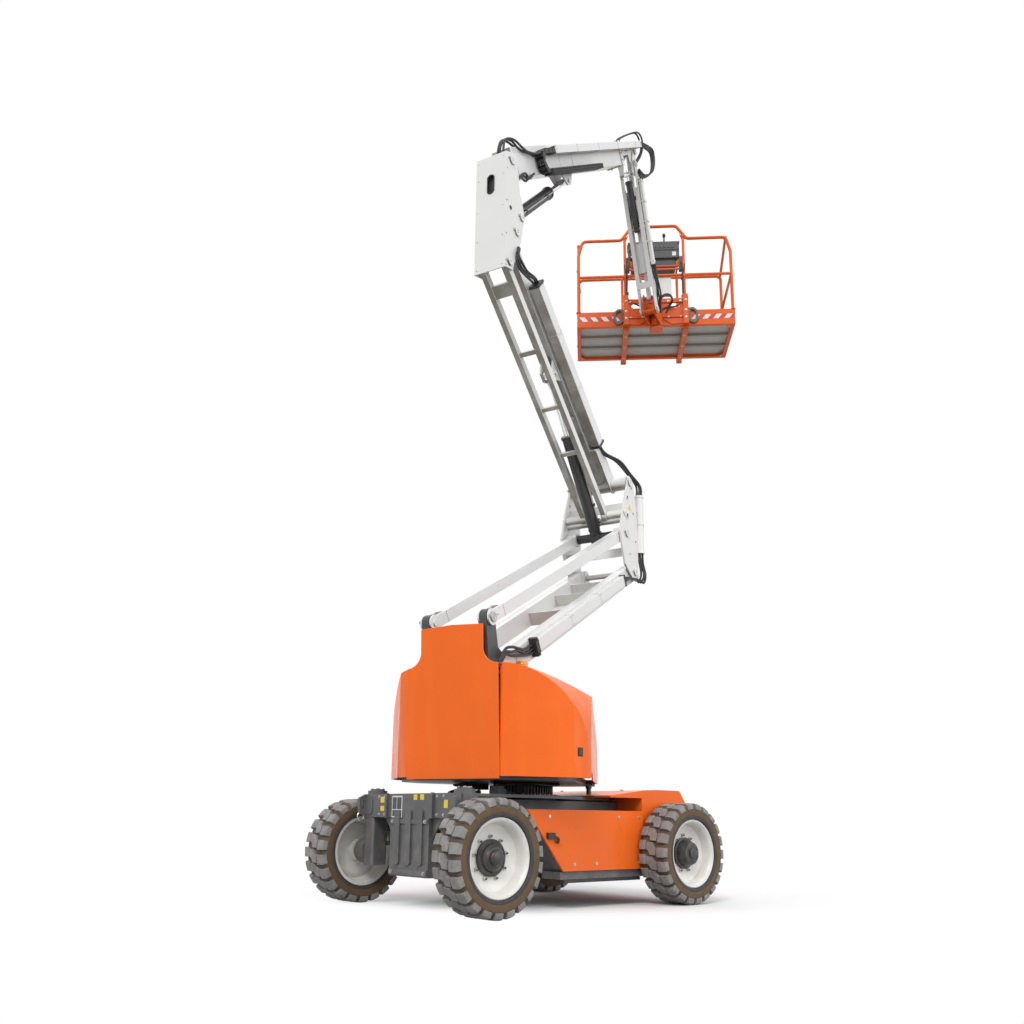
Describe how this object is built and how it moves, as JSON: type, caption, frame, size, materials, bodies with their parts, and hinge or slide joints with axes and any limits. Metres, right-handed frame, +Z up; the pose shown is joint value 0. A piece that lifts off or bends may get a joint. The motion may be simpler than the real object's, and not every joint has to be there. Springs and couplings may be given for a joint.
{
  "type": "articulating boom lift",
  "caption": "Articulating boom lift on wheels: slewing turret with two-stage riser, telescopic boom, jib and turning work platform.",
  "frame": {"origin": "centre of the bounding box at floor level", "axes": "+Z up from the floor, +X from the steered axle to the driven axle, +Y to the machine's left"},
  "size_m": [5.5547, 3.1907, 7.985],
  "materials": {
    "chassis_grey": "satin",
    "orange_paint": "gloss",
    "gear_steel": "oiled",
    "black_steel": "satin",
    "chrome_rod": "polished",
    "tyre": "worn",
    "white_rim": "satin",
    "battery": "matte",
    "amber": "clear",
    "white_paint": "gloss",
    "black_plastic": "matte",
    "platform_orange": "satin"
  },
  "bodies": {
    "chassis": {"chassis_frame": "chassis_grey", "side_skirts": "orange_paint", "drive_hood": "orange_paint", "drive_axle": "chassis_grey", "slew_ring": "gear_steel", "steer_cylinder": "black_steel"},
    "steer_rod": {"steer_rod": "chrome_rod"},
    "knuckle_left": {"knuckle_left": "chassis_grey"},
    "knuckle_right": {"knuckle_right": "chassis_grey"},
    "turret": {"turret_frame": "chassis_grey", "cowl_tail": "orange_paint", "battery_packs": "battery", "counterweight": "chassis_grey", "beacon": "amber"},
    "cowl_left": {"cowl_left": "orange_paint"},
    "cowl_right": {"cowl_right": "orange_paint"},
    "lower_arm": {"lower_arm": "white_paint"},
    "lower_links": {"lower_links": "white_paint"},
    "mid_upright": {"mid_upright": "white_paint"},
    "upper_arm": {"upper_arm": "white_paint"},
    "upper_link": {"upper_link": "white_paint"},
    "top_upright": {"top_upright": "white_paint"},
    "riser_barrel": {"riser_barrel": "black_steel"},
    "riser_rod": {"riser_rod": "chrome_rod"},
    "boom_outer": {"boom_outer": "white_paint", "boom_tray": "black_plastic", "energy_chain": "black_plastic"},
    "boom_inner": {"boom_inner": "white_paint"},
    "boom_barrel": {"boom_barrel": "black_steel"},
    "boom_rod": {"boom_rod": "chrome_rod"},
    "jib_knuckle": {"jib_knuckle": "white_paint"},
    "jib_arm": {"jib_arm": "white_paint"},
    "jib_link": {"jib_link": "white_paint"},
    "jib_barrel": {"jib_barrel": "black_steel"},
    "jib_rod": {"jib_rod": "chrome_rod"},
    "bracket": {"platform_bracket": "platform_orange"},
    "platform": {"platform_floor": "platform_orange", "platform_rails": "platform_orange", "rotator_mount": "platform_orange", "control_box": "black_plastic"},
    "gate": {"platform_gate": "platform_orange"},
    "wheel_steer_left": {"tyre_steer_left": "tyre", "rim_steer_left": "white_rim"},
    "wheel_steer_right": {"tyre_steer_right": "tyre", "rim_steer_right": "white_rim"},
    "wheel_drive_left": {"tyre_drive_left": "tyre", "rim_drive_left": "white_rim"},
    "wheel_drive_right": {"tyre_drive_right": "tyre", "rim_drive_right": "white_rim"}
  },
  "joints": [
    {"name": "steer_left", "type": "hinge", "parent": "chassis", "child": "knuckle_left", "pos_m": [-2.411, -0.184, 0.365], "axis": [0, 0, 1], "range_deg": [-30, 30]},
    {"name": "wheel_steer_left_spin", "type": "hinge", "parent": "knuckle_left", "child": "wheel_steer_left", "pos_m": [-2.411, 0.066, 0.365], "axis": [0, 1, 0], "continuous": true},
    {"name": "wheel_drive_left_spin", "type": "hinge", "parent": "chassis", "child": "wheel_drive_left", "pos_m": [-0.511, 0.066, 0.365], "axis": [0, 1, 0], "continuous": true},
    {"name": "steer_right", "type": "hinge", "parent": "chassis", "child": "knuckle_right", "pos_m": [-2.411, -1.184, 0.365], "axis": [0, 0, 1], "range_deg": [-30, 30]},
    {"name": "wheel_steer_right_spin", "type": "hinge", "parent": "knuckle_right", "child": "wheel_steer_right", "pos_m": [-2.411, -1.434, 0.365], "axis": [0, 1, 0], "continuous": true},
    {"name": "wheel_drive_right_spin", "type": "hinge", "parent": "chassis", "child": "wheel_drive_right", "pos_m": [-0.511, -1.434, 0.365], "axis": [0, 1, 0], "continuous": true},
    {"name": "steer_rod_slide", "type": "slide", "parent": "chassis", "child": "steer_rod", "axis": [0, 1, 0], "range_m": [-0.075, 0.075]},
    {"name": "slew", "type": "hinge", "parent": "chassis", "child": "turret", "pos_m": [-1.461, -0.684, 0.85], "axis": [0, 0, 1], "range_deg": [-195.8, 159.2]},
    {"name": "cowl_left_door", "type": "hinge", "parent": "turret", "child": "cowl_left", "pos_m": [-1.06833, -0.18339, 0.9], "axis": [0, 0, -1], "range_deg": [0, 55]},
    {"name": "cowl_right_door", "type": "hinge", "parent": "turret", "child": "cowl_right", "pos_m": [-0.84728, -0.85178, 0.9], "axis": [0, 0, 1], "range_deg": [0, 55]},
    {"name": "riser", "type": "hinge", "parent": "turret", "child": "lower_arm", "pos_m": [-2.16357, -0.91635, 1.612], "axis": [0.314, -0.9494, 0], "range_deg": [-37, 27.3]},
    {"name": "link_swing", "type": "hinge", "parent": "turret", "child": "lower_links", "pos_m": [-2.33447, -0.97287, 1.942], "axis": [0.314, -0.9494, 0], "range_deg": [-38, 28.3]},
    {"name": "upright_level", "type": "hinge", "parent": "lower_arm", "child": "mid_upright", "pos_m": [0.02959, -0.19103, 2.82477], "axis": [0.314, -0.9494, 0], "range_deg": [-28.3, 38]},
    {"name": "upper_swing", "type": "hinge", "parent": "mid_upright", "child": "upper_arm", "pos_m": [-0.0663, -0.22275, 3.66977], "axis": [0.314, -0.9494, 0], "range_deg": [-33.02, 44.4]},
    {"name": "ladder_swing", "type": "hinge", "parent": "mid_upright", "child": "upper_link", "pos_m": [-0.17454, -0.25854, 3.33777], "axis": [0.314, -0.9494, 0], "range_deg": [-33.02, 44.4]},
    {"name": "box_level", "type": "hinge", "parent": "upper_arm", "child": "top_upright", "pos_m": [-1.84921, -0.81239, 5.2511], "axis": [0.314, -0.9494, 0], "range_deg": [-44.4, 33.02]},
    {"name": "riser_barrel_swing", "type": "hinge", "parent": "mid_upright", "child": "riser_barrel", "pos_m": [-0.14131, -0.24755, 3.15477], "axis": [0.314, -0.9494, 0], "range_deg": [-27.5, 37]},
    {"name": "riser_rod_slide", "type": "slide", "parent": "riser_barrel", "child": "riser_rod", "axis": [-0.5856, -0.1937, 0.7871], "range_m": [-0.3196, 0.2384]},
    {"name": "boom_luff", "type": "hinge", "parent": "top_upright", "child": "boom_outer", "pos_m": [-1.9432, -0.84347, 5.8581], "axis": [0.314, -0.9494, 0], "range_deg": [-29, 29.5]},
    {"name": "boom_barrel_swing", "type": "hinge", "parent": "top_upright", "child": "boom_barrel", "pos_m": [-1.77895, -0.78915, 5.4311], "axis": [0.314, -0.9494, 0], "range_deg": [-27.3, 27.8]},
    {"name": "boom_rod_slide", "type": "slide", "parent": "boom_barrel", "child": "boom_rod", "axis": [0.6635, 0.2194, 0.7152], "range_m": [-0.2193, 0.223]},
    {"name": "boom_extend", "type": "slide", "parent": "boom_outer", "child": "boom_inner", "axis": [0.7691, 0.2543, 0.5864], "range_m": [0, 1.7]},
    {"name": "knuckle_level", "type": "hinge", "parent": "boom_inner", "child": "jib_knuckle", "pos_m": [0.74163, 0.04445, 7.90512], "axis": [0.314, -0.9494, 0], "range_deg": [-30.5, 30]},
    {"name": "jib_luff", "type": "hinge", "parent": "jib_knuckle", "child": "jib_arm", "pos_m": [0.73024, 0.04068, 7.74012], "axis": [0.314, -0.9494, 0], "range_deg": [-4.5, 120]},
    {"name": "jib_link_swing", "type": "hinge", "parent": "jib_knuckle", "child": "jib_link", "pos_m": [0.74163, 0.04445, 7.90512], "axis": [0.314, -0.9494, 0], "range_deg": [-5.5, 121]},
    {"name": "platform_level", "type": "hinge", "parent": "jib_arm", "child": "bracket", "pos_m": [1.26556, 0.21772, 6.23208], "axis": [0.314, -0.9494, 0], "range_deg": [-121, 5.5]},
    {"name": "jib_barrel_swing", "type": "hinge", "parent": "jib_arm", "child": "jib_barrel", "pos_m": [0.96299, 0.11766, 7.08445], "axis": [0.314, -0.9494, 0], "range_deg": [-0.6, 3.4]},
    {"name": "jib_rod_slide", "type": "slide", "parent": "jib_barrel", "child": "jib_rod", "axis": [-0.4211, -0.1393, 0.8963], "range_m": [-0.0182, 0.2283]},
    {"name": "platform_turn", "type": "hinge", "parent": "bracket", "child": "platform", "pos_m": [1.46684, 0.28429, 6.23208], "axis": [0, 0, 1], "range_deg": [-95.5, 44.5]},
    {"name": "gate", "type": "hinge", "parent": "platform", "child": "gate", "pos_m": [1.46808, 1.52551, 6.25208], "axis": [0, 0, 1], "range_deg": [0, 85]}
  ],
  "couplings": [
    {"joint": "steer_right", "follows": "steer_left", "ratio": 1},
    {"joint": "steer_rod_slide", "follows": "steer_left", "m_per_rad": 0.12312},
    {"joint": "link_swing", "follows": "riser", "ratio": 1},
    {"joint": "upright_level", "follows": "riser", "ratio": -1},
    {"joint": "upper_swing", "follows": "riser", "ratio": -1.173},
    {"joint": "ladder_swing", "follows": "riser", "ratio": -1.173},
    {"joint": "box_level", "follows": "riser", "ratio": 1.173},
    {"joint": "riser_barrel_swing", "follows": "riser", "ratio": -0.9406},
    {"joint": "riser_rod_slide", "follows": "riser", "m_per_rad": 0.47938},
    {"joint": "boom_barrel_swing", "follows": "boom_luff", "ratio": 0.88018},
    {"joint": "boom_rod_slide", "follows": "boom_luff", "m_per_rad": 0.41361},
    {"joint": "knuckle_level", "follows": "boom_luff", "ratio": -1},
    {"joint": "jib_link_swing", "follows": "jib_luff", "ratio": 1},
    {"joint": "platform_level", "follows": "jib_luff", "ratio": -1},
    {"joint": "jib_barrel_swing", "follows": "jib_luff", "ratio": 0.02341},
    {"joint": "jib_rod_slide", "follows": "jib_luff", "m_per_rad": 0.10422}
  ]
}
